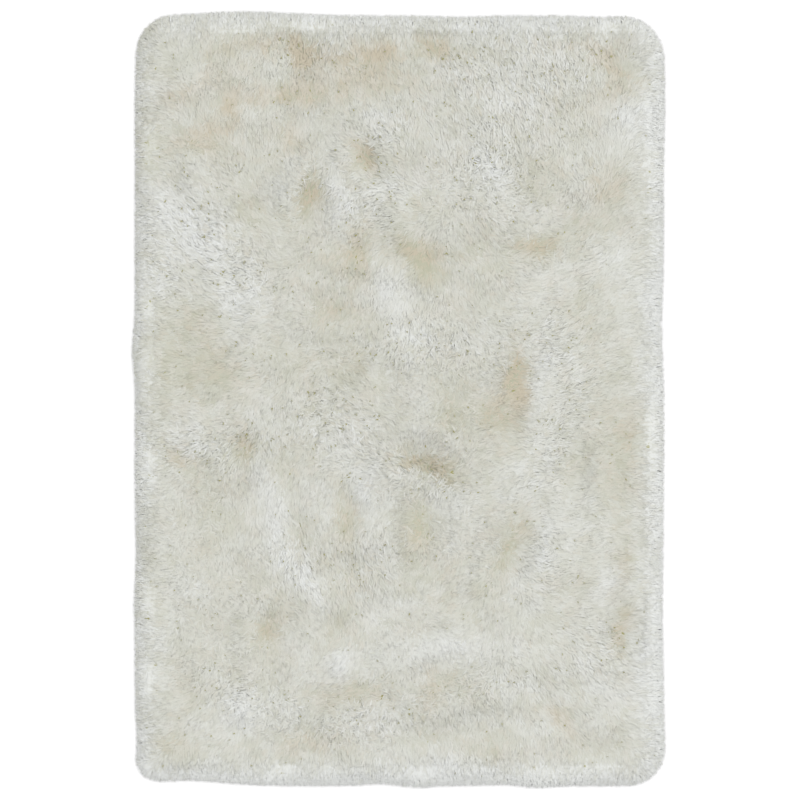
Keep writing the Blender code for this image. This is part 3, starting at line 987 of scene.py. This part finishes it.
def lock_tree():
    """The tree that plants the locks on a bed and gives each one its look on the map."""
    tree = bpy.data.node_groups.new("Yarn locks", "GeometryNodeTree")
    tree.interface.new_socket("Geometry", in_out="INPUT", socket_type="NodeSocketGeometry")
    for kind, names in LOCK_INPUTS.items():
        for name in names:
            tree.interface.new_socket(name, in_out="INPUT", socket_type="NodeSocket" + kind)
    tree.interface.new_socket("Geometry", in_out="OUTPUT", socket_type="NodeSocketGeometry")
    net = Net(tree)
    given = net.node("NodeGroupInput")

    def stored(name, kind="FLOAT"):
        return net.node("GeometryNodeInputNamedAttribute", {"data_type": kind}, name)

    def store(points, name, value, kind="FLOAT", domain="POINT"):
        settings = {"data_type": kind, "domain": domain}
        return net.node("GeometryNodeStoreNamedAttribute", settings, points, Name=name, Value=value)

    def chance(low, high, layer, kind="FLOAT"):
        seed = given["Seed"] + layer
        return net.node("FunctionNodeRandomValue", {"data_type": kind}, low, high, Seed=seed)

    def over_pile(trait):
        return trait.sleek + stored("tousled") * trait.tousled + stored("border") * trait.border

    def limited(value):
        return net.math("MINIMUM", net.math("MAXIMUM", value, 0.0), 0.999)

    roots = net.node(
        "GeometryNodeDistributePointsOnFaces", {"distribute_method": "POISSON"},
        Mesh=given["Geometry"], Distance_Min=given["Spacing"], Density_Max=MOST_ROOTS,
        Density_Factor=stored("grows"), Seed=given["Seed"],
    )
    place = net.node("GeometryNodeInputPosition")
    y_place = net.parts(place)["Y"]
    outside = net.math("LESS_THAN", y_place, given["From Y"])
    outside = net.math("MAXIMUM", outside, net.math("GREATER_THAN", y_place, given["To Y"]))
    roots = net.node("GeometryNodeDeleteGeometry", {"domain": "POINT"}, roots, outside)
    clump = net.node("ShaderNodeTexVoronoi", None, Vector=place, Scale=1 / given["Clump Size"])
    pull = net.vector("SUBTRACT", clump["Position"], place)
    strength = given["Clump Pull"] * over_pile(DRAWN)
    pull = net.scale(pull, strength / given["Clump Size"])
    toss = net.vector("SUBTRACT", clump["Color"], (0.5, 0.5, 0.5))
    toss = net.scale(toss, given["Clump Pull"] * over_pile(TOSSED))
    pull = net.vector("ADD", pull, toss)
    lean = net.vector("ADD", stored("lean", "FLOAT_VECTOR"), pull)
    toss = net.node("FunctionNodeRandomValue", {"data_type": "FLOAT_VECTOR"}, (-1,) * 3, (1,) * 3)
    lean = net.vector("ADD", lean, net.scale(toss, given["Tangle"]))
    turn = net.node(
        "FunctionNodeAxesToRotation", {"primary_axis": "Z", "secondary_axis": "X"},
        stored("stand", "FLOAT_VECTOR"), lean,
    )
    twist = [chance(-most, most, layer) for layer, most in enumerate(TWISTS, 1)]
    twist = net.node("ShaderNodeCombineXYZ", None, *twist)
    twist = net.scale(twist, over_pile(LOOSE))
    turn = net.node(
        "FunctionNodeRotateRotation", {"rotation_space": "LOCAL"},
        turn, net.node("FunctionNodeEulerToRotation", None, twist),
    )
    tuft = net.parts(clump["Color"])
    # At a few roots, a short dark lock lifted onto the others paints the shade of a gap between the
    # locks
    parting = net.smooth(tuft["Z"], *PARTING_CLUMPS)
    share = given["Gaps"] * (1.6 - stored("pale")) * (0.3 + 6.0 * parting)
    share = share * over_pile(PARTED) * (1 - stored("border") * 0.9)
    roots = store(roots, "gap", net.math("LESS_THAN", chance(0.0, 1.0, 11), share))
    gap = stored("gap")
    full = 1 - gap
    shortened = full + gap * chance(*GAP_LENGTHS, 13)
    size = net.node(
        "ShaderNodeCombineXYZ", None,
        given["Length"] * stored("reach") * chance(*LENGTHS, 4) * shortened,
        given["Width"] * chance(*WIDTHS, 5),
        given["Length"] * stored("loft") * chance(*LOFTS, 6) * over_pile(LOFTED),
    )
    patterns = net.node(
        "GeometryNodeCollectionInfo", None,
        Collection=given["Locks"], Separate_Children=True, Reset_Children=True,
    )
    levels = LOOKS / STRANDS
    warm = stored("warm") + (tuft["Y"] - 0.5) * 0.8 + chance(-0.25, 0.25, 8)
    warm = net.math("FLOOR", limited(warm) * levels)
    finer = STRANDS_IN_CLUMP / given["Clump Size"]
    strand = net.node("ShaderNodeTexVoronoi", None, Vector=place, Scale=finer)
    strand = net.parts(strand["Color"])["X"] - 0.5
    # paleness carries the pile's painted shade and light, with its tone varied lock by lock and
    # strand by strand
    pale = stored("pale") + (tuft["X"] - 0.5) * 0.2
    pale = pale + chance(-1.0, 1.0, 7) * over_pile(FLECKED)
    pale = pale + strand * over_pile(STREAKED)
    pale = limited(pale) * (LOOKS - 1) / LOOKS + 1 / LOOKS
    row = (warm + chance(0.0, 0.999, 10)) / levels * full + gap * chance(0.0, 0.999, 12)
    look = net.node("ShaderNodeCombineXYZ", None, pale * full, row)
    roots = store(roots, "look", look, "FLOAT_VECTOR")
    lift = net.scale(stored("stand", "FLOAT_VECTOR"), gap * GAP_LIFT)
    roots = net.node("GeometryNodeSetPosition", None, roots, Offset=lift)
    locks = net.node(
        "GeometryNodeInstanceOnPoints", None, roots, Instance=patterns, Pick_Instance=True,
        Instance_Index=chance(0, len(BENDS) - 1, 9, "INT"), Rotation=turn, Scale=size,
    )
    locks = net.node("GeometryNodeRealizeInstances", None, locks)
    cell = net.scale(stored("look", "FLOAT_VECTOR"), float(LOOKS))
    cell = net.vector("FLOOR", cell)
    within = net.vector(
        "MULTIPLY_ADD", stored("OFBake", "FLOAT_VECTOR"),
        (1 - 2 * LOOK_MARGIN,) * 3, (LOOK_MARGIN,) * 3,
    )
    on_map = net.scale(net.vector("ADD", cell, within), 1 / LOOKS)
    locks = store(locks, "OFBake", on_map, "FLOAT2", "CORNER")
    locks = net.node("GeometryNodeSetMaterial", None, locks, Material=given["Material"])
    net.node("NodeGroupOutput", None, locks)
    return tree


def plant_locks(name, bed, tree, values):
    """The locks that the tree grows on the bed's mesh for these inputs, as one plain mesh."""
    holder = bpy.data.objects.new(name, bed.data)
    bpy.context.scene.collection.objects.link(holder)
    modifier = holder.modifiers.new("Yarn locks", "NODES")
    modifier.node_group = tree
    for item in tree.interface.items_tree:
        if item.in_out == "INPUT" and item.name in values:
            modifier[item.identifier] = values[item.name]
    evaluated = holder.evaluated_get(bpy.context.evaluated_depsgraph_get())
    mesh = bpy.data.meshes.new_from_object(evaluated)
    bpy.data.objects.remove(holder)
    if not mesh.polygons:
        raise RuntimeError(f"no locks grew for {name}")
    return mesh


def read_vectors(collection, key):
    """The vectors that each item of a mesh's collection holds under this key, one a row."""
    values = np.zeros(len(collection) * 3, np.float32)
    collection.foreach_get(key, values)
    return values.reshape(-1, 3)


SETTLES_BELOW, LOWEST_LOCK = 0.004, 0.0008


def settle(mesh):
    """Bends what lies lowest back up, so that the locks rest on the floor and keep their roundness,
    and swaps the sides of each lock that this turned inside out."""
    places = read_vectors(mesh.vertices, "co")
    low = places[:, 2] < SETTLES_BELOW
    room = SETTLES_BELOW - LOWEST_LOCK
    sunk = (places[low, 2] - SETTLES_BELOW) / room
    places[low, 2] = LOWEST_LOCK + room * np.exp(sunk)
    locks = places.reshape(-1, 4, 3)
    root, left, right, end = locks.swapaxes(0, 1)
    inside_out = (np.cross(left - root, right - root) * (end - root)).sum(1) < 0
    locks[inside_out, 1], locks[inside_out, 2] = right[inside_out], left[inside_out]
    mesh.vertices.foreach_set("co", places.ravel())
    mesh.update()


def soften(mesh, own_share):
    """Turns each lock's normals towards those of the bed, so that the pile takes light as one soft
    surface, and drops what the locks carried from the bed."""
    stand = read_vectors(mesh.attributes["stand"].data, "vector")
    normals = own_share * read_vectors(mesh.vertex_normals, "vector") + (1 - own_share) * stand
    normals /= np.linalg.norm(normals, axis=1)[:, None]
    for layer in [a.name for a in mesh.attributes if a.domain == "POINT" and not a.is_required]:
        mesh.attributes.remove(mesh.attributes[layer])
    mesh.normals_split_custom_set_from_vertices(normals)


# ---------------- operators

BEYOND = 9.0  # past the rug at its front and back


class RUG_OT_bed(bpy.types.Operator):
    """Adds the bed of yarn roots that the locks grow from"""

    bl_idname = "shag_rug.bed"
    bl_label = "Pile bed"

    def execute(self, context):
        sizes, colours = context.scene.rug_sizes, context.scene.rug_colours
        material = new_material("pile_roots", bed_finish, colours)
        bed = add_object("pile_bed", bed_mesh(sizes.bed_spacing), material)
        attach(bed, "root")
        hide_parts("shag_pile")
        return {"FINISHED"}


class RUG_OT_locks(bpy.types.Operator):
    """Grows the combed locks of yarn on the bed"""

    bl_idname = "shag_rug.locks"
    bl_label = "Locks"

    def execute(self, context):
        sizes, colours = context.scene.rug_sizes, context.scene.rug_colours
        bed = bpy.data.objects["pile_bed"]
        patterns = bpy.data.collections.new("Lock patterns")
        for number, bend in enumerate(BENDS):
            mesh = lock_mesh(f"lock_pattern_{number}", bend)
            patterns.objects.link(bpy.data.objects.new(mesh.name, mesh))
        material = new_material("pile_yarn", yarn_finish, colours)
        tree = lock_tree()
        step = (SIDE_BACK - SIDE_FRONT) / sizes.zones
        for zone in range(sizes.zones):
            values = {
                "Locks": patterns,
                "Length": sizes.lock_length,
                "Width": sizes.lock_width,
                "Spacing": sizes.lock_spacing,
                "Clump Size": sizes.clump_size,
                "Clump Pull": sizes.clump_pull,
                "Tangle": sizes.tangle,
                "Gaps": sizes.gaps,
                "From Y": SIDE_FRONT + zone * step if zone else -BEYOND,
                "To Y": SIDE_FRONT + (zone + 1) * step if zone < sizes.zones - 1 else BEYOND,
                "Seed": sizes.seed,
                "Material": material,
            }
            name = f"locks_{zone + 1}"
            mesh = plant_locks(name, bed, tree, values)
            settle(mesh)
            soften(mesh, sizes.lock_relief)
            piece = add_object(name, mesh, material)
            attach(piece, "root")
            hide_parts("shag_pile")
        for pattern in list(patterns.objects):
            bpy.data.objects.remove(pattern)
        bpy.data.collections.remove(patterns)
        return {"FINISHED"}


class RUG_OT_cloth(bpy.types.Operator):
    """Adds the base cloth that the yarn is tufted through"""

    bl_idname = "shag_rug.cloth"
    bl_label = "Base cloth"

    def execute(self, context):
        colours = context.scene.rug_colours
        mesh = cloth_mesh(context.scene.rug_sizes.hem_width)
        cloth = add_object("backing_cloth", mesh, new_material("base_cloth", cloth_finish, colours))
        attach(cloth, "root")
        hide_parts("backing")
        return {"FINISHED"}


FLOOR_RADIUS = 60
SUN_STRENGTH, SUN_SPREAD = 0.6, 25
SUN_FROM = (0.62, 0.55, 0.9)
CAMERA_PLACE = (0.003, -0.0015, 10)
CAMERA_LENS = 150


class RUG_OT_stage(bpy.types.Operator):
    """Adds the floor, the light and the camera straight above the rug"""

    bl_idname = "shag_rug.stage"
    bl_label = "Stage"

    def execute(self, context):
        scene = context.scene
        bm = bmesh.new()
        bmesh.ops.create_circle(bm, cap_ends=True, segments=64, radius=FLOOR_RADIUS)
        material = new_material("floor", floor_finish, scene.rug_colours)
        floor = add_object("floor", mesh_of(bm, "floor"), material)

        world = bpy.data.worlds.new("soft_daylight")
        world.use_nodes = True
        world.node_tree.nodes["Background"].inputs["Color"].default_value = (1, 1, 1, 1)
        scene.world = world

        sun = bpy.data.lights.new("soft_key", "SUN")
        sun.energy = SUN_STRENGTH
        sun.angle = math.radians(SUN_SPREAD)
        key = bpy.data.objects.new("soft_key", sun)
        key.rotation_euler = Vector(SUN_FROM).to_track_quat("Z", "Y").to_euler()
        scene.collection.objects.link(key)

        camera = bpy.data.cameras.new("camera")
        camera.lens, camera.clip_end = CAMERA_LENS, 100
        holder = bpy.data.objects.new("camera", camera)
        holder.location = CAMERA_PLACE
        scene.collection.objects.link(holder)
        scene.camera = holder
        scene.view_settings.view_transform = "Standard"
        return {"FINISHED"}


class RUG_PT_panel(bpy.types.Panel):
    """Lists the steps that make the rug"""

    bl_label = "Shag rug"
    bl_idname = "RUG_PT_panel"
    bl_space_type = "VIEW_3D"
    bl_region_type = "UI"
    bl_category = "Shag rug"

    def draw(self, context):
        for group in (context.scene.rug_sizes, context.scene.rug_colours):
            for name in group.bl_rna.properties.keys():
                if name not in ("rna_type", "name"):
                    self.layout.prop(group, name)
        for operator in OPERATORS:
            self.layout.operator(operator.bl_idname)


OPERATORS = (RUG_OT_bed, RUG_OT_locks, RUG_OT_cloth, RUG_OT_stage)
CLASSES = (RugSizes, RugColours, *OPERATORS, RUG_PT_panel)


def register():
    for item in CLASSES:
        bpy.utils.register_class(item)
    bpy.types.Scene.rug_sizes = bpy.props.PointerProperty(type=RugSizes)
    bpy.types.Scene.rug_colours = bpy.props.PointerProperty(type=RugColours)


def unregister():
    del bpy.types.Scene.rug_colours
    del bpy.types.Scene.rug_sizes
    for item in reversed(CLASSES):
        bpy.utils.unregister_class(item)


def main():
    register()
    bpy.ops.shag_rug.bed()
    bpy.ops.shag_rug.locks()
    bpy.ops.shag_rug.cloth()
    bpy.ops.shag_rug.stage()


if __name__ == "__main__":
    main()
